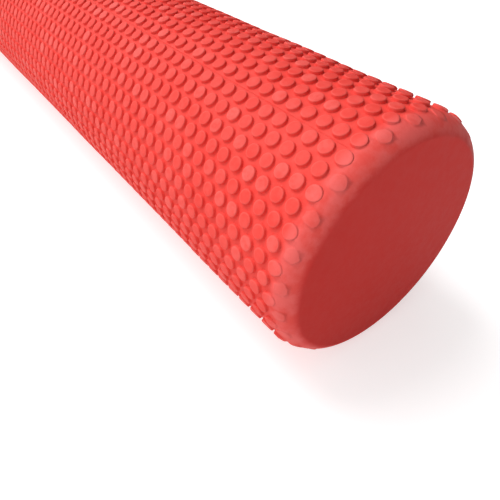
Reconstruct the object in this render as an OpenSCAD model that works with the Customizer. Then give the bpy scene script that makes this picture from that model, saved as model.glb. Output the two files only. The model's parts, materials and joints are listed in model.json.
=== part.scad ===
// Full-round foam roller with a studded barrel.
// It is two half-round foam mouldings glued flat to flat. Both are the same moulding, and the
// rear one is turned end for end. The roller lies along X and rests on one row of studs at Z = 0.

/* [Roller] */
// Overall length
roller_len = 900; // [300:50:1200]
// Diameter over the rims of the studs
tip_d = 150; // [130:5:180]

/* [Studs] */
// Diameter of a stud
stud_d = 8; // [6:0.5:8.5]
// Height of a stud above the barrel
stud_h = 1.8; // [1:0.1:2.5]
// Target spacing of the studs along a row
stud_pitch = 10.5; // [10:0.1:14]
// Rows of studs on each half
rows_per_half = 24; // [16:2:24]
// Spacing of the two rows beside the joint, in ordinary row spacings
joint_spread = 1.09; // [1:0.01:1.3]
// Distance that the stud pattern sits off the middle of the moulding
pattern_shift = 0.65; // [0:0.05:1]

/* [Ends] */
// Length of the rounded shoulder at each end
shoulder_len = 12; // [8:0.5:14]
// How far the shoulder drops from the barrel to the end face
shoulder_drop = 8.4; // [4:0.2:8.4]
// Distance from an end face to the first stud of a long row
end_margin = 12.65; // [12:0.05:16]

/* [Joint] */
// Thickness of the adhesive film
glue_t = 0.2; // [0.1:0.05:0.5]
// Distance that the film stops short of the barrel's surface and of the end faces
glue_inset = 1; // [0.5:0.1:3]
// Row of studs on which the roller rests, counted from the joint
rest_row = 4; // [1:1:16]

/* [Hidden] */

foam_colour = [0.96, 0.30, 0.27];
glue_colour = [0.86, 0.74, 0.48];
curve_facets = 96;
stud_facets = 32;

// Angles around the barrel. Each row of studs stands on a narrow flat of its own.
row_turn = 180 / (rows_per_half - 1 + joint_spread);
first_row_turn = joint_spread * row_turn / 2;
rest_turn = first_row_turn + (rest_row - 1) * row_turn;

// Radii, from the stud rims inwards
stud_r = stud_d / 2;
stud_top_r = sqrt(pow(tip_d / 2, 2) - pow(stud_r, 2));
flat_r = stud_top_r - stud_h;
flat_corner_r = flat_r / cos(row_turn / 2);
joint_edge_r = flat_r / cos(first_row_turn);
stud_root = 1;

// The shoulder is an arc that leaves the barrel at a tangent
shoulder_r = (pow(shoulder_len, 2) + pow(shoulder_drop, 2)) / (2 * shoulder_drop);
shoulder_clear = 0.1;

// Studs along a long row. A short row has one stud fewer and starts half a pitch further in.
stud_span = roller_len - 2 * end_margin;
long_row_studs = round(stud_span / stud_pitch) + 1;
pitch = stud_span / (long_row_studs - 1);

// Height of the roller's axis when one row of studs stands flat on the ground
axis_h = stud_top_r + glue_t / 2 * sin(rest_turn);

// Lengthwise outline from the axis out to radius r: X is the radius and Y runs along the roller
module side_outline(r) {
    difference() {
        translate([0, -roller_len / 2])
            square([r, roller_len]);
        for (end = [0, 1])
            mirror([0, end])
                translate([r - shoulder_r, roller_len / 2 - shoulder_len])
                    difference() {
                        square(shoulder_r + 1);
                        circle(shoulder_r, $fn = curve_facets);
                    }
    }
}

// Cross-section of one half, with one flat for each row of studs
module half_section() {
    corners = [
        for (row = [0 : rows_per_half - 2])
            let (turn = first_row_turn + (row + 0.5) * row_turn)
                flat_corner_r * [cos(turn), sin(turn)]
    ];
    polygon(concat([[joint_edge_r, 0]], corners, [[-joint_edge_r, 0]]));
}

module half_barrel() {
    intersection() {
        rotate([90, 0, 90])
            linear_extrude(roller_len, center = true)
                half_section();
        rotate([0, 90, 0])
            rotate_extrude($fn = curve_facets)
                side_outline(joint_edge_r + shoulder_clear);
    }
}

module stud_row(count, start) {
    for (i = [0 : count - 1])
        translate([start + i * pitch, flat_r - stud_root, 0])
            rotate([-90, 0, 0])
                cylinder(h = stud_root + stud_h, r = stud_r, $fn = stud_facets);
}

// One moulding, with its flat on Z = 0 and long rows nearest the joint edge on the +Y side
module half_moulding() {
    first_stud = pattern_shift - stud_span / 2;
    half_barrel();
    for (row = [0 : rows_per_half - 1]) {
        short = row % 2;
        rotate([first_row_turn + row * row_turn, 0, 0])
            stud_row(long_row_studs - short, first_stud + short * pitch / 2);
    }
}

// Turns the joint plane to where it stands as the roller lies on the ground
module as_it_lies() {
    translate([0, 0, axis_h])
        rotate([90 + rest_turn, 0, 0])
            children();
}

module front_half() {
    color(foam_colour)
        as_it_lies()
            translate([0, 0, glue_t / 2])
                half_moulding();
}

module rear_half() {
    color(foam_colour)
        as_it_lies()
            rotate([0, 180, 0])
                translate([0, 0, glue_t / 2])
                    half_moulding();
}

module half_film_outline() {
    film_r = joint_edge_r - glue_inset;
    film_len = roller_len - 2 * glue_inset;
    intersection() {
        side_outline(film_r);
        translate([0, -film_len / 2])
            square([film_r, film_len]);
    }
}

module glue_film() {
    color(glue_colour)
        as_it_lies()
            rotate([0, 0, 90])
                linear_extrude(glue_t, center = true)
                    for (side = [0, 1])
                        mirror([side, 0])
                            half_film_outline();
}

front_half();
rear_half();
glue_film();
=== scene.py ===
"""Looks for the foam roller: two studded half-round foam mouldings glued flat to flat.

Each half is one closed mesh. Its outline runs from the middle of the barrel over the rounded
shoulder to the centre of the end face, and a distance along that line is called s below.
A half's own axes are X along the roller, Y towards its first joint edge and Z away from its flat.
"""
import json
import math

import bpy
import numpy as np
from mathutils import Matrix, Vector


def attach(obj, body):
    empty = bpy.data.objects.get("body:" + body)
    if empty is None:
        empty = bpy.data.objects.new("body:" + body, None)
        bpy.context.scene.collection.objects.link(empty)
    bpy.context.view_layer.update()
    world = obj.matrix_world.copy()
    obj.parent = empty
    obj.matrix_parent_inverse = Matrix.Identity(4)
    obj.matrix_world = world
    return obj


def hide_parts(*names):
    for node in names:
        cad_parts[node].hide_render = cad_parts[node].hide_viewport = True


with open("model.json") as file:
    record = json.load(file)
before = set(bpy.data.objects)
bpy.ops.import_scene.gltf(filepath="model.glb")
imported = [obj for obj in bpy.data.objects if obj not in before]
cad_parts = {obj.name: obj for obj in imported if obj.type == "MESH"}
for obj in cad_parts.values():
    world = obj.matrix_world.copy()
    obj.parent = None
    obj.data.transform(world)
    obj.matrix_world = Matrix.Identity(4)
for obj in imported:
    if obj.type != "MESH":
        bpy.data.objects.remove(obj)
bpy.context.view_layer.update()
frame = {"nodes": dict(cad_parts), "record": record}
rng = np.random.default_rng(24)

# Sizes that the CAD model is driven by, in metres
MM = 0.001
TIP_R = 75 * MM
STUD_R = 4 * MM
STUD_H = 1.8 * MM
STUD_PITCH = 10.5 * MM
ROWS = 24
JOINT_SPREAD = 1.09
PATTERN_SHIFT = 0.65 * MM
SHOULDER_LEN = 12 * MM
SHOULDER_DROP = 8.4 * MM
END_MARGIN = 12.65 * MM
GLUE_T = 0.2 * MM
GLUE_INSET = 1 * MM
REST_ROW = 4

# Where the CAD model has the roller
near_end = Vector(frame["record"]["mounts"][0]["pos_m"])
HALF_LEN = near_end.x
AXIS_H = near_end.z

# Rows and studs, as in the CAD model
ROW_TURN = math.pi / (ROWS - 1 + JOINT_SPREAD)
FIRST_ROW_TURN = JOINT_SPREAD * ROW_TURN / 2
REST_TURN = FIRST_ROW_TURN + (REST_ROW - 1) * ROW_TURN
STUD_TOP_R = math.sqrt(TIP_R**2 - STUD_R**2)
BARREL_R = TIP_R - STUD_H
STUD_SPAN = 2 * (HALF_LEN - END_MARGIN)
LONG_ROW_STUDS = round(STUD_SPAN / STUD_PITCH) + 1
PITCH = STUD_SPAN / (LONG_ROW_STUDS - 1)

# The outline beyond the straight barrel: shoulder arc, small edge radius, flat end face
EDGE_R = 4 * MM
SHOULDER_R = (SHOULDER_LEN**2 + SHOULDER_DROP**2) / (2 * SHOULDER_DROP)
STRAIGHT = HALF_LEN - SHOULDER_LEN
SHOULDER_TURN = math.asin((SHOULDER_LEN - EDGE_R) / (SHOULDER_R - EDGE_R))
EDGE_START = STRAIGHT + SHOULDER_R * SHOULDER_TURN
FACE_START = EDGE_START + EDGE_R * (math.pi / 2 - SHOULDER_TURN)
FACE_R = BARREL_R - SHOULDER_R + (SHOULDER_R - EDGE_R) * math.cos(SHOULDER_TURN)
POLE = FACE_START + FACE_R

# The stud pattern is laid on a grid of quarter pitches by quarter rows, so that the cells of
# staggered rows share their corners. Each cell has as many points around it as its stud has.
STEPS = 4
STUD_POINTS = 4 * STEPS
AROUND_STUD = 2 * math.pi * np.arange(STUD_POINTS) / STUD_POINTS
GRID_LEN = (LONG_ROW_STUDS + 1) * STEPS
GRID_START = PATTERN_SHIFT - STUD_SPAN / 2 - PITCH

# Width of the strip that is left beside the joint plane for the lip along the joint
JOINT_STRIP = 0.6 * MM

# Upper limit of random phases and directions, a little over a whole turn
ANY_PHASE = 7

# Waves of unevenness in the foam: how many, their lengths, turns around the roller, and heights
WAVE_COUNT = 6
WAVE_LENGTHS = (70 * MM, 400 * MM)
WAVE_TURNS = (-4, 5)
WAVE_HEIGHTS = (0.02 * MM, 0.08 * MM)


# ---------------------------------------------------------------- shape of one half

def outline(s):
    """X, radius, and the outward direction (x, radial) of the outline at distance s."""
    side = np.where(s < 0, -1.0, 1.0)
    d = np.abs(s)
    bend = np.clip((d - STRAIGHT) / SHOULDER_R, 0, SHOULDER_TURN)
    edge = SHOULDER_TURN + np.clip((d - EDGE_START) / EDGE_R, 0, math.pi / 2 - SHOULDER_TURN)
    x = np.minimum(d, STRAIGHT) + SHOULDER_R * np.sin(bend)
    x = x + EDGE_R * (np.sin(edge) - math.sin(SHOULDER_TURN))
    radius = BARREL_R - SHOULDER_R * (1 - np.cos(bend))
    radius = radius - EDGE_R * (math.cos(SHOULDER_TURN) - np.cos(edge))
    radius = radius - np.maximum(d - FACE_START, 0)
    lean = np.where(d > EDGE_START, edge, bend)
    return side * x, radius, side * np.sin(lean), np.cos(lean)


def surface(s, turn, lift):
    """Positions and normals at distance s and angle turn, raised by lift from the smooth surface."""
    x, radius, out_x, out_r = outline(s)
    x = x + out_x * lift
    radius = radius + out_r * lift
    position = np.stack([x, radius * np.cos(turn), radius * np.sin(turn)], -1)
    normal = np.stack([out_x + 0 * turn, out_r * np.cos(turn), out_r * np.sin(turn)], -1)
    return position, normal


def swell(s, turn, waves):
    """A gentle unevenness of the foam, as the sum of a few long waves."""
    lift = 0
    for length, around, phase, height in waves:
        lift = lift + height * np.sin(2 * math.pi * s / length + around * turn + phase)
    return lift


def random_wave():
    """Length, turns around the roller, phase and height of one wave."""
    length = rng.uniform(*WAVE_LENGTHS)
    around = rng.integers(*WAVE_TURNS)
    phase = rng.uniform(0, ANY_PHASE)
    return length, around, phase, rng.uniform(*WAVE_HEIGHTS)


class HalfMesh:
    """Collects the points, normals and faces of one half, and at each point its painted highlight and
    its rubbing.
    """

    def __init__(self):
        self.points, self.normals, self.wear, self.faces = [], [], [], []
        self.count = 0

    def add(self, position, normal, crown=0.0, rub=0.0):
        """Adds points and returns their numbers, in the shape that they were given in."""
        shape = position.shape[:-1]
        number = np.arange(self.count, self.count + int(np.prod(shape))).reshape(shape)
        self.count += number.size
        self.points.append(position.reshape(-1, 3))
        self.normals.append(np.broadcast_to(normal, position.shape).reshape(-1, 3))
        wear = np.stack([np.broadcast_to(crown, shape), np.broadcast_to(rub, shape)], -1)
        self.wear.append(wear.reshape(-1, 2))
        return number

    def quads(self, first, second):
        """Joins two lines of points that run the same way: quads, and triangles where they meet."""
        strip = np.stack([first[..., :-1], second[..., :-1], second[..., 1:], first[..., 1:]], -1)
        for face in strip.reshape(-1, 4).tolist():
            self.faces.append(list(dict.fromkeys(face)))

    def bands(self, outer, inner):
        """Joins closed rings of points, one ring to a line of the arrays, to the rings inside them."""
        self.quads(np.append(outer, outer[:, :1], 1), np.append(inner, inner[:, :1], 1))

    def caps(self, ring, middle):
        """Closes rings of points by a fan of triangles around their middles."""
        fan = np.stack([np.roll(ring, -1, 1), ring, np.broadcast_to(middle[:, None], ring.shape)], -1)
        self.faces.extend(fan.reshape(-1, 3).tolist())


def row_edges():
    """Angles of the grid lines around the half, four steps to a row."""
    strip = JOINT_STRIP / BARREL_R
    inner = FIRST_ROW_TURN + (np.arange(ROWS - 1) + 0.5) * ROW_TURN
    edges = np.concatenate([[strip], inner, [math.pi - strip]])
    steps = np.linspace(0, 1, STEPS, endpoint=False)
    lines = edges[:-1, None] + steps * np.diff(edges)[:, None]
    return np.append(lines.ravel(), edges[-1])


def cell_starts(row):
    """First grid step of each whole cell in a row. Short rows end in a trimmed stud at each end."""
    half_step = STEPS // 2
    return np.arange(0 if row % 2 else half_step, GRID_LEN - STEPS + 1, STEPS)


def make_grid(half, turns, waves):
    """Adds the grid points that cells share, and returns their numbers with -1 for unused points."""
    used = np.zeros((GRID_LEN + 1, turns.size), bool)
    used[:, ::STEPS] = True
    for row in range(ROWS):
        band = slice(row * STEPS, (row + 1) * STEPS)
        sides = cell_starts(row)
        used[sides, band] = True
        used[sides + STEPS, band] = True
        if row % 2 == 0:
            used[[0, 1, -2, -1], band] = True
    used[[0, -1]] = True
    along, around = np.nonzero(used)
    s = GRID_START + along * PITCH / STEPS
    turn = turns[around]
    position, normal = surface(s, turn, swell(s, turn, waves))
    numbers = np.full(used.shape, -1)
    numbers[along, around] = half.add(position, normal)
    return numbers


def cell_ring(numbers, start, row):
    """The grid points around each cell of a row, in order, starting at the middle of its +X side."""
    low = row * STEPS
    span = np.arange(STEPS)
    along = np.concatenate([np.full(STEPS, STEPS), STEPS - span, np.zeros(STEPS, int), span])
    around = np.concatenate([span, np.full(STEPS, STEPS), STEPS - span, np.zeros(STEPS, int)])
    shift = STEPS // 2
    along, around = np.roll(along, -shift), np.roll(around, -shift)
    return numbers[start[:, None] + along, low + around]


def stud_frames(s, turn, waves):
    """Centre, outward axis, lengthwise axis and sideways axis of studs at (s, turn)."""
    centre, out = surface(s, turn, swell(s, turn, waves))
    sideways = np.stack([0 * turn, -np.sin(turn), np.cos(turn)], -1)
    along = np.cross(out, sideways)
    return centre, out, along, sideways


# What the shoulder's rounding leaves of a stud, above the surface below it: distances from the
# end face and the heights left there
TRIM_PLACES = np.array([5, 7, 8, 10, 12, 14, 16]) * MM
TRIM_HEIGHTS = np.array([0.15, 0.3, 0.55, 1.0, 1.4, 1.65, 1.8]) * MM


def trimmed_height(x):
    """Greatest height of a stud's points at x, counted from the straight barrel's surface."""
    from_end = HALF_LEN - np.abs(x)
    left = np.interp(from_end, TRIM_PLACES, TRIM_HEIGHTS)
    into_shoulder = np.clip(SHOULDER_LEN - from_end, 0, SHOULDER_LEN)
    drop = SHOULDER_R - np.sqrt(SHOULDER_R**2 - into_shoulder**2)
    return left - drop


# Rings of a stud from its root inwards: radius beyond the stud's own, height as a share of the stud's,
# lean of the normal in degrees, and the strength of a painted highlight, strongest on the rim
STUD_PROFILE = [
    (0.30 * MM, -0.06, 6, 0.0),
    (0.05 * MM, 0.14, 76, 0.0),
    (-0.04 * MM, 0.76, 73, 0.2),
    (-0.36 * MM, 0.96, 27, 1.0),
    (-1.0 * MM, 1.01, 4, 0.1),
]
STUD_CROWN = 0.03 * MM

# How much the studs differ: place along the row, height, tilt, and width as a share
STUD_PLACE_SPREAD = 0.05 * MM
STUD_HEIGHT_SPREAD = 0.03 * MM
STUD_TILT_SPREAD = 0.03 * MM
STUD_WIDTH_SPREAD = 0.008

# Most studs are hardly rubbed pale and a few are much: the power that an even spread is raised to
RUB_RARITY = 3


def add_studs(half, ring, s, turn, waves, chosen_rub):
    """Adds one row of full studs inside their cell rings."""
    count = s.size
    s = s + rng.normal(0, STUD_PLACE_SPREAD, count)
    centre, out, along, sideways = stud_frames(s, turn + 0 * s, waves)
    around = AROUND_STUD
    spoke = along[:, None] * np.cos(around)[:, None] + sideways[:, None] * np.sin(around)[:, None]
    top = STUD_TOP_R - BARREL_R + rng.normal(0, STUD_HEIGHT_SPREAD, count)
    width = 1 + rng.normal(0, STUD_WIDTH_SPREAD, count)
    tilt = rng.normal(0, STUD_TILT_SPREAD, count)[:, None]
    tilt_wave = tilt * np.cos(around - rng.uniform(0, ANY_PHASE, count)[:, None])
    outer = ring
    for spread, rise, lean, rim_highlight in STUD_PROFILE:
        radius = (STUD_R * width + spread)[:, None, None]
        position = centre[:, None] + spoke * radius
        height = np.minimum(rise * (top[:, None] + tilt_wave), trimmed_height(position[..., 0]))
        position = position + out[:, None] * height[..., None]
        lean = math.radians(lean)
        normal = math.cos(lean) * out[:, None] + math.sin(lean) * spoke
        # Each ring carries its share of the painted rim highlight, and its share of the stud's rubbing
        # by its height
        inner = half.add(position, normal, crown=rim_highlight, rub=rise * chosen_rub[:, None])
        half.bands(outer, inner)
        outer = inner
    summit = centre + out * (top + STUD_CROWN)[:, None]
    middle = half.add(summit, out, rub=chosen_rub)
    half.caps(outer, middle)


# Rings of a cut-away stud's remains from the root inwards: radius beyond the stud's own, share of
# the height that is left, lean of the normal in degrees
REMAINS_PROFILE = [
    (0.15 * MM, 0.0, 30),
    (-0.15 * MM, 0.9, 45),
    (-0.6 * MM, 1.0, 3),
]
REMAINS_HEIGHTS = (0.15 * MM, 0.40 * MM)

# How ragged their outline is, as a share of their radius. Then the share of their height halfway
# between their high and low sides, and how much more and less those sides have, within 0 and 1
REMAINS_RAGGED = 0.07
REMAINS_HALFWAY = 0.45
REMAINS_ONE_SIDED = 0.8

# The strength of the painted highlight on their raised parts, their wear, and the wear of their middles
REMAINS_HIGHLIGHT = 0.2
REMAINS_RUB = 0.7
REMAINS_MIDDLE_RUB = 0.5


def add_trimmed_studs(half, ring, s, turn, waves):
    """Adds the low, ragged and one-sided remains of the studs that the shoulder has cut away."""
    count = s.size
    around = AROUND_STUD
    ragged = 1 + REMAINS_RAGGED * rng.normal(0, 1, (count, STUD_POINTS))
    left = rng.uniform(*REMAINS_HEIGHTS, count)[:, None]
    one_sided = np.cos(around - rng.uniform(0, ANY_PHASE, count)[:, None])
    left = left * np.clip(REMAINS_HALFWAY + REMAINS_ONE_SIDED * one_sided, 0, 1)
    outer = ring
    for spread, rise, lean in REMAINS_PROFILE:
        radius = (STUD_R + spread) * ragged
        ring_s = s[:, None] + radius * np.cos(around)
        ring_turn = turn + radius * np.sin(around) / BARREL_R
        height = rise * left + swell(ring_s, ring_turn, waves)
        position, normal = surface(ring_s, ring_turn, height)
        sideways = np.stack([0 * ring_turn, -np.sin(ring_turn), np.cos(ring_turn)], -1)
        along = np.cross(normal, sideways)
        spoke = along * np.cos(around)[:, None] + sideways * np.sin(around)[:, None]
        lean = math.radians(lean)
        normal = math.cos(lean) * normal + math.sin(lean) * spoke
        # The remains carry a painted highlight that grows with their height, and wear
        inner = half.add(position, normal, crown=REMAINS_HIGHLIGHT * rise, rub=REMAINS_RUB * rise)
        half.bands(outer, inner)
        outer = inner
    position, normal = surface(s, turn + 0 * s, left.mean(1) + swell(s, turn, waves))
    middle = half.add(position, normal, crown=REMAINS_HIGHLIGHT, rub=REMAINS_MIDDLE_RUB)
    half.caps(outer, middle)


def add_row(half, numbers, row, waves):
    """Adds every cell of one row: studs, trimmed studs on short rows, plain ends on long rows."""
    start = cell_starts(row)
    ring = cell_ring(numbers, start, row)
    s = GRID_START + (start / STEPS + 0.5) * PITCH
    turn = FIRST_ROW_TURN + row * ROW_TURN
    rubbed = rng.uniform(0, 1, s.size) ** RUB_RARITY
    if row % 2:
        add_studs(half, ring[1:-1], s[1:-1], turn, waves, rubbed[1:-1])
        add_trimmed_studs(half, ring[[0, -1]], s[[0, -1]], turn, waves)
        return
    add_studs(half, ring, s, turn, waves, rubbed)
    band = slice(row * STEPS, (row + 1) * STEPS + 1)
    for first in (0, 1, GRID_LEN - 2, GRID_LEN - 1):
        half.quads(numbers[first + 1, band], numbers[first, band])


# Bands of faces on the shoulder and around its edge
SHOULDER_BANDS = 4
EDGE_BANDS = 5

# Rings on the end face, as shares of the way from its edge to its centre
FACE_RINGS = np.array([0.02, 0.06, 0.12, 0.22, 0.36, 0.52, 0.68, 0.84])


def add_end(half, last_ring, side, first_s, turns, waves):
    """Carries the surface from the last grid line over the shoulder edge to the end's centre."""
    shoulder = np.linspace(first_s, EDGE_START, SHOULDER_BANDS + 1)[1:]
    edge = np.linspace(EDGE_START, FACE_START, EDGE_BANDS + 1)[1:]
    face = FACE_START + FACE_R * FACE_RINGS
    rings = [last_ring]
    for s in np.concatenate([shoulder, edge, face]):
        fade = min(1, (POLE - s) / FACE_R)
        position, normal = surface(side * s + 0 * turns, turns, fade * swell(side * s, turns, waves))
        rings.append(half.add(position, normal))
    pole_position, pole_normal = surface(np.array([side * POLE]), np.array([0.0]), np.array([0.0]))
    pole = half.add(pole_position, pole_normal)[0]
    for outer, inner in zip(rings, rings[1:]):
        if side > 0:
            half.quads(inner, outer)
        else:
            half.quads(outer, inner)
    last = rings[-1]
    for first, second in zip(last.tolist(), last[1:].tolist()):
        half.faces.append([first, second, int(pole)] if side > 0 else [second, first, int(pole)])
    return rings[1:], pole


def joint_line(rings_low, pole_low, numbers, rings_high, pole_high, column):
    """The points of one joint edge, from the -X pole to the +X pole."""
    low = [ring[column] for ring in reversed(rings_low)]
    high = [ring[column] for ring in rings_high]
    return np.concatenate([[pole_low], low, numbers[:, column], high, [pole_high]])


# Lines of the lip along the joint, towards the joint plane: share of the distance to the plane,
# height above the surface, lean of the normal to the joint in degrees
JOINT_LIP = [
    (0.57, 0.14 * MM, 15),
    (0.2, 0.14 * MM, 35),
    (0.0, -0.06 * MM, 65),
]

# The lip fades out over this length, up to this place on the shoulder
LIP_FADE = 6 * MM
LIP_END = STRAIGHT + 2 * MM

# Its height varies by this share, as the product of two waves along it, of these lengths per radian
LIP_RIPPLE = 0.35
SHORT_RIPPLE = 9 * MM
LONG_RIPPLE = 23 * MM
LONG_RIPPLE_PHASE = 1.3


def add_joint_edge(half, line, sign):
    """Closes the strip between the outermost grid line and the joint plane, with a fine raised lip."""
    points = np.concatenate(half.points)[line]
    normals = np.concatenate(half.normals)[line]
    x = points[:, 0]
    on_barrel = np.clip((LIP_END - np.abs(x)) / LIP_FADE, 0, 1)
    ripple = np.sin(x / SHORT_RIPPLE) * np.sin(x / LONG_RIPPLE + LONG_RIPPLE_PHASE)
    height = on_barrel * (1 + LIP_RIPPLE * ripple)
    outer = line
    for share, rise, lean in JOINT_LIP:
        position = points + normals * (rise * height)[:, None]
        position[:, 2] = share * points[:, 2]
        position[[0, -1], 1] = 0
        lean = math.radians(lean) * on_barrel[:, None]
        normal = np.cos(lean) * normals + np.sin(lean) * np.array([0, 0, -1.0])
        inner = half.add(position[1:-1], normal[1:-1])
        inner = np.concatenate([[outer[0]], inner, [outer[-1]]])
        half.quads(*((inner, outer) if sign > 0 else (outer, inner)))
        outer = inner
    return outer


# The recess for the adhesive is a little wider than the film
RECESS_INSET = GLUE_INSET - 0.1 * MM


def add_flat(half, near_line, far_line):
    """Closes the half with its glued flat, which is recessed inside its rim for the adhesive."""
    loop = np.concatenate([near_line[:-1], far_line[:0:-1]])
    points = np.concatenate(half.points)[loop]
    to_next = np.roll(points, -1, 0) - np.roll(points, 1, 0)
    outward = np.stack([-to_next[:, 1], to_next[:, 0]], -1)
    outward = outward / np.linalg.norm(outward, axis=1)[:, None]
    rim = points.copy()
    rim[:, :2] -= outward * RECESS_INSET
    rim[:, 2] = GLUE_T / 2
    inner = half.add(rim, np.array([0, 0, -1.0]))
    half.quads(np.append(inner, inner[0]), np.append(loop, loop[0]))
    half.faces.append(inner.tolist())


def half_mesh(name):
    """One moulding as a Blender mesh, in its own axes."""
    half = HalfMesh()
    waves = [random_wave() for _ in range(WAVE_COUNT)]
    turns = row_edges()
    numbers = make_grid(half, turns, waves)
    for row in range(ROWS):
        add_row(half, numbers, row, waves)
    grid_end = GRID_START + GRID_LEN * PITCH / STEPS
    rings_high, pole_high = add_end(half, numbers[-1], 1, grid_end, turns, waves)
    rings_low, pole_low = add_end(half, numbers[0], -1, -GRID_START, turns, waves)
    ends = (rings_low, pole_low, numbers, rings_high, pole_high)
    near_line = add_joint_edge(half, joint_line(*ends, 0), 1)
    far_line = add_joint_edge(half, joint_line(*ends, -1), -1)
    add_flat(half, near_line, far_line)
    return to_blender(half, name)


def to_blender(half, name):
    """Turns the collected points and faces into a mesh with its own normals, and with the painted
    highlight and the rubbing as data at its points.
    """
    points = np.concatenate(half.points)
    normals = np.concatenate(half.normals)
    normals = normals / np.linalg.norm(normals, axis=1)[:, None]
    mesh = bpy.data.meshes.new(name)
    mesh.from_pydata(points.tolist(), [], half.faces)
    mesh.polygons.foreach_set("use_smooth", np.ones(len(mesh.polygons), bool))
    wear = np.concatenate(half.wear)
    for column, label in enumerate(("crown", "rub")):
        data = mesh.attributes.new(label, "FLOAT", "POINT")
        data.data.foreach_set("value", wear[:, column].astype(np.float32))
    mesh.normals_split_custom_set_from_vertices(normals.tolist())
    return mesh


# ---------------------------------------------------------------- materials

def srgb(red, green, blue):
    """A colour given as 8-bit screen values, as Blender's linear RGBA."""
    def linear(value):
        value = value / 255
        return value / 12.92 if value <= 0.04045 else ((value + 0.055) / 1.055) ** 2.4
    return (linear(red), linear(green), linear(blue), 1)


FOAM_RED = srgb(235, 76, 68)
FOAM_DEEP = srgb(231, 68, 60)
FOAM_BRIGHT = srgb(240, 98, 90)
FOAM_RUBBED = srgb(240, 106, 99)
FOAM_SCUFFED = srgb(242, 112, 108)
# Painted shade: a deeper red for the end faces, standing in for the shade on them
FOAM_FACE_SHADE = srgb(221, 56, 50)
GLUE_DARK = srgb(196, 150, 82)
GLUE_PALE = srgb(232, 205, 150)
FLOOR_GREY = srgb(206, 206, 207)
FLOOR_PALE = srgb(210, 210, 210)

# Sizes of the foam's features
BLOTCH = 35 * MM
STREAK = 14 * MM
MOTTLE = 4 * MM
TEAR = 1.8 * MM
GRAIN = 0.45 * MM

# Depths of the foam's orange peel, cells and tears, and how much it shines
PEEL_DEPTH = 0.10 * MM
CELL_DEPTH = 0.035 * MM
TEAR_DEPTH = 0.35 * MM
FOAM_SHINE = 0.08

# Size and depth of the brush marks in the adhesive, and size of the floor's faint patches
BRUSH_MARK = 6 * MM
BRUSH_DEPTH = 0.05 * MM
FLOOR_PATCH = 0.3

# How strongly the floor glows where it lights the roller, and where it is looked at
FLOOR_GLOW = 0.3
FLOOR_WHITE = 0.6


def add_node(tree, kind, inputs=None, **settings):
    """Adds a shader node, with its settings and with values or links for its inputs."""
    node = tree.nodes.new(kind)
    for name, value in settings.items():
        setattr(node, name, value)
    for socket, value in (inputs or {}).items():
        if isinstance(value, bpy.types.NodeSocket):
            tree.links.new(value, node.inputs[socket])
        else:
            node.inputs[socket].default_value = value
    return node


def noise(tree, where, size, detail=2.0, rough=0.5):
    """Noise from 0 to 1 with features of the given size."""
    inputs = {"Vector": where, "Scale": 1 / size, "Detail": detail, "Roughness": rough}
    return add_node(tree, "ShaderNodeTexNoise", inputs).outputs["Fac"]


def ramp(tree, value, low, high, to_low=0.0, to_high=1.0):
    """Smoothly maps value from low..high to to_low..to_high, and holds it beyond."""
    inputs = {"Value": value, "From Min": low, "From Max": high, "To Min": to_low, "To Max": to_high}
    node = add_node(tree, "ShaderNodeMapRange", inputs, interpolation_type="SMOOTHSTEP")
    return node.outputs["Result"]


def maths(tree, operation, first, second=0.0):
    """One step of arithmetic."""
    return add_node(tree, "ShaderNodeMath", {0: first, 1: second}, operation=operation).outputs[0]


def mix(tree, share, first, second):
    """Mixes two colours."""
    inputs = {"Factor": share, 6: first, 7: second}
    return add_node(tree, "ShaderNodeMix", inputs, data_type="RGBA").outputs[2]


def when_seen(tree, lighting, seen):
    """The value lighting where it lights other things, and the value seen where it is looked at."""
    looked_at = add_node(tree, "ShaderNodeLightPath").outputs["Is Camera Ray"]
    inputs = {0: looked_at, 2: lighting, 3: seen}
    return add_node(tree, "ShaderNodeMix", inputs, data_type="FLOAT").outputs[0]


def wear_value(tree, label):
    """Reads one of the two values that the mesh carries at its points, its painted highlight and its
    rubbing.
    """
    return add_node(tree, "ShaderNodeAttribute", attribute_name=label).outputs["Fac"]


def shoulder_weight(tree, where):
    """1 on the rounded shoulders and their edge, 0 on the barrel and on the end faces."""
    axes = add_node(tree, "ShaderNodeSeparateXYZ", {0: where}).outputs
    along = maths(tree, "ABSOLUTE", axes["X"])
    height = maths(tree, "SUBTRACT", axes["Z"], AXIS_H)
    sideways_squared = maths(tree, "POWER", axes["Y"], 2.0)
    height_squared = maths(tree, "MULTIPLY", height, height)
    radius = maths(tree, "SQRT", maths(tree, "ADD", sideways_squared, height_squared))
    past_barrel = ramp(tree, along, STRAIGHT - 3 * MM, STRAIGHT + 3 * MM)
    outside_face = ramp(tree, radius, FACE_R - 0.5 * MM, FACE_R + 4 * MM)
    return maths(tree, "MULTIPLY", past_barrel, outside_face)


def end_face_weight(tree, where):
    """1 on the flat end faces, 0 elsewhere; it places the end faces' painted shade."""
    along = maths(tree, "ABSOLUTE", add_node(tree, "ShaderNodeSeparateXYZ", {0: where}).outputs["X"])
    return ramp(tree, along, HALF_LEN - 2 * MM, HALF_LEN - 0.2 * MM)


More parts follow.
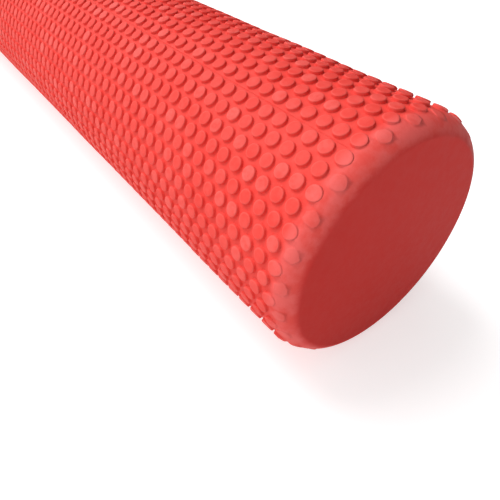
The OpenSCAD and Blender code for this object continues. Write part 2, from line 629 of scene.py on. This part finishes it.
def foam_material():
    """Moulded coral-red EVA foam: matt skin, fine cell grain, scuffed shoulders and rubbed studs, with a
    painted highlight on the studs' rims and painted shade on the end faces.
    """
    material = bpy.data.materials.new("eva_foam")
    material.use_nodes = True
    tree = material.node_tree
    shader = tree.nodes["Principled BSDF"]
    where = add_node(tree, "ShaderNodeTexCoord").outputs["Object"]

    blotch = noise(tree, where, BLOTCH, 3)
    mottle = noise(tree, where, MOTTLE, 4, 0.6)
    grain = noise(tree, where, GRAIN, 3, 0.6)
    streak = noise(tree, where, STREAK, 6, 0.65)

    crown, rub = wear_value(tree, "crown"), wear_value(tree, "rub")
    shoulder = shoulder_weight(tree, where)

    colour = mix(tree, ramp(tree, blotch, 0.3, 0.7), FOAM_DEEP, FOAM_RED)
    colour = mix(tree, ramp(tree, mottle, 0.35, 0.75, 0.0, 0.35), colour, FOAM_BRIGHT)
    # Painted highlight: the studs' rims and the raised remains of cut-away studs are lightened towards
    # the bright red
    colour = mix(tree, ramp(tree, crown, 0.0, 1.0, 0.0, 0.5), colour, FOAM_BRIGHT)
    worn = maths(tree, "MULTIPLY", rub, ramp(tree, mottle, 0.3, 0.65, 0.25, 0.75))
    colour = mix(tree, worn, colour, FOAM_RUBBED)
    # Painted shade: the end faces get a deeper red that stands in for the shade they lie in
    colour = mix(tree, end_face_weight(tree, where), colour, FOAM_FACE_SHADE)
    scuff = maths(tree, "MULTIPLY", shoulder, ramp(tree, streak, 0.38, 0.62, 0.15, 0.65))
    colour = mix(tree, scuff, colour, FOAM_SCUFFED)

    roughness = ramp(tree, mottle, 0.3, 0.7, 0.50, 0.62)
    bump = cell_skin(tree, where, grain, mottle, scuff)
    for socket, value in {"Base Color": colour, "Roughness": roughness, "Normal": bump}.items():
        tree.links.new(value, shader.inputs[socket])
    shader.inputs["Specular IOR Level"].default_value = FOAM_SHINE
    return material


def cell_skin(tree, where, grain, mottle, scuff):
    """The relief of the foam's skin: closed cells, a soft orange peel and fine tears where scuffed."""
    peel = add_node(tree, "ShaderNodeBump", {"Height": mottle, "Distance": PEEL_DEPTH, "Strength": 0.5})
    cells = {"Height": grain, "Distance": CELL_DEPTH, "Strength": 0.6, "Normal": peel.outputs[0]}
    skin = add_node(tree, "ShaderNodeBump", cells)
    tears = noise(tree, where, TEAR, 5, 0.75)
    torn = maths(tree, "MULTIPLY", tears, scuff)
    relief = {"Height": torn, "Distance": TEAR_DEPTH, "Strength": 0.7, "Normal": skin.outputs[0]}
    return add_node(tree, "ShaderNodeBump", relief).outputs[0]


def glue_material():
    """Dried contact adhesive: amber, slightly glossy, brushed on unevenly."""
    material = bpy.data.materials.new("contact_adhesive")
    material.use_nodes = True
    tree = material.node_tree
    shader = tree.nodes["Principled BSDF"]
    where = add_node(tree, "ShaderNodeTexCoord").outputs["Object"]
    brushed = noise(tree, where, BRUSH_MARK, 5, 0.6)
    colour = mix(tree, brushed, GLUE_DARK, GLUE_PALE)
    tree.links.new(colour, shader.inputs["Base Color"])
    tree.links.new(ramp(tree, brushed, 0.3, 0.7, 0.30, 0.45), shader.inputs["Roughness"])
    bump = add_node(tree, "ShaderNodeBump", {"Height": brushed, "Distance": BRUSH_DEPTH})
    tree.links.new(bump.outputs[0], shader.inputs["Normal"])
    return material


def floor_material():
    """A plain white light table with a faint unevenness."""
    material = bpy.data.materials.new("white_floor")
    material.use_nodes = True
    tree = material.node_tree
    shader = tree.nodes["Principled BSDF"]
    where = add_node(tree, "ShaderNodeTexCoord").outputs["Object"]
    patchy = noise(tree, where, FLOOR_PATCH, 2)
    tree.links.new(mix(tree, patchy, FLOOR_GREY, FLOOR_PALE), shader.inputs["Base Color"])
    shader.inputs["Roughness"].default_value = 0.9
    shader.inputs["Specular IOR Level"].default_value = 0.0
    shader.inputs["Emission Color"].default_value = (1, 1, 1, 1)
    tree.links.new(when_seen(tree, FLOOR_GLOW, FLOOR_WHITE), shader.inputs["Emission Strength"])
    return material


# ---------------------------------------------------------------- the object's pieces

def place_half(name, node, turned, material):
    """Builds one half, lays it where the CAD half lies, and lets it stand for that half."""
    piece = bpy.data.objects.new(name, half_mesh(name))
    bpy.context.scene.collection.objects.link(piece)
    as_it_lies = Matrix.Translation((0, 0, AXIS_H)) @ Matrix.Rotation(math.pi / 2 + REST_TURN, 4, "X")
    end_for_end = Matrix.Rotation(math.pi if turned else 0, 4, "Y")
    piece.data.transform(as_it_lies @ end_for_end)
    piece.data.materials.append(material)
    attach(piece, "root")
    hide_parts(node)


def build_roller():
    """Both foam halves, and a material for the film of adhesive between them."""
    foam = foam_material()
    place_half("front_half_foam", "front_half", False, foam)
    place_half("rear_half_foam", "rear_half", True, foam)
    film = frame["nodes"]["glue_film"]
    film.data.materials.clear()
    film.data.materials.append(glue_material())


# ---------------------------------------------------------------- floor, light and camera

# The floor lies about level with the lowest studs, whose unevenness takes them a little below zero
FLOOR_REACH = 30.0
FLOOR_Z = -0.2 * MM


def add_floor():
    """A wide plain floor."""
    corners = [(x, y, FLOOR_Z) for x in (-FLOOR_REACH, FLOOR_REACH) for y in (-FLOOR_REACH, FLOOR_REACH)]
    mesh = bpy.data.meshes.new("studio_floor")
    mesh.from_pydata(corners, [], [(0, 2, 3, 1)])
    mesh.materials.append(floor_material())
    floor = bpy.data.objects.new("studio_floor", mesh)
    bpy.context.scene.collection.objects.link(floor)


# The key light comes from above and from the far end
KEY_SIDE = (-0.46, -0.18, 0.83)
KEY_STRENGTH = 1.6
KEY_SPREAD = math.radians(30)

# Where it lights things, the room is bright on one side and fades to dim across these cosines of the
# angle from there. Where it is looked at, it is equally bright all around
ROOM_SIDE = (-0.45, -0.74, 0.50)
ROOM_BRIGHT = 1.22
ROOM_DIM = 0.02
ROOM_DIM_FROM = 0.05
ROOM_BRIGHT_FROM = 0.75
ROOM_SEEN = 1.0


def add_studio():
    """A soft white room, bright on the camera's side and towards the far end, and a soft key."""
    world = bpy.data.worlds.new("studio")
    bpy.context.scene.world = world
    world.use_nodes = True
    tree = world.node_tree
    direction = add_node(tree, "ShaderNodeTexCoord").outputs["Generated"]
    inputs = {0: direction, 1: Vector(ROOM_SIDE).normalized()}
    facing = add_node(tree, "ShaderNodeVectorMath", inputs, operation="DOT_PRODUCT").outputs["Value"]
    lighting = ramp(tree, facing, ROOM_DIM_FROM, ROOM_BRIGHT_FROM, ROOM_DIM, ROOM_BRIGHT)
    strength = when_seen(tree, lighting, ROOM_SEEN)
    tree.links.new(strength, tree.nodes["Background"].inputs["Strength"])
    tree.nodes["Background"].inputs["Color"].default_value = (1, 1, 1, 1)
    lamp = bpy.data.lights.new("key", "SUN")
    lamp.energy = KEY_STRENGTH
    lamp.angle = KEY_SPREAD
    key = bpy.data.objects.new("key", lamp)
    key.rotation_euler = Vector(KEY_SIDE).to_track_quat("Z", "Y").to_euler()
    bpy.context.scene.collection.objects.link(key)


# The camera as it stands when the glued joint leans by SEEN_JOINT_TURN: how far it is turned from
# looking along +Y, how far it is raised from looking straight down, and its place from the near end.
# The focal length and the film's width are in millimetres
CAMERA_TURN = math.radians(53.14)
CAMERA_TILT = math.radians(47.18)
CAMERA_PLACE = Vector((98.9, -168.0, 168.1)) * MM
SEEN_JOINT_TURN = math.radians(24.78)
FOCAL_LENGTH = 33.28
FILM_WIDTH = 36


def add_camera():
    """The photograph's view: from above the near end, along the barrel."""
    lens = bpy.data.cameras.new("camera")
    lens.lens = FOCAL_LENGTH
    lens.sensor_width = FILM_WIDTH
    lens.clip_start = 10 * MM
    camera = bpy.data.objects.new("camera", lens)
    level = Matrix.Rotation(CAMERA_TURN, 4, "Z") @ Matrix.Rotation(CAMERA_TILT, 4, "X")
    level.translation = CAMERA_PLACE
    about_the_axis = Matrix.Rotation(REST_TURN - SEEN_JOINT_TURN, 4, "X")
    camera.matrix_world = Matrix.Translation(near_end) @ about_the_axis @ level
    bpy.context.scene.collection.objects.link(camera)
    bpy.context.scene.camera = camera


build_roller()
add_floor()
add_studio()
add_camera()
bpy.context.scene.view_settings.view_transform = "Standard"
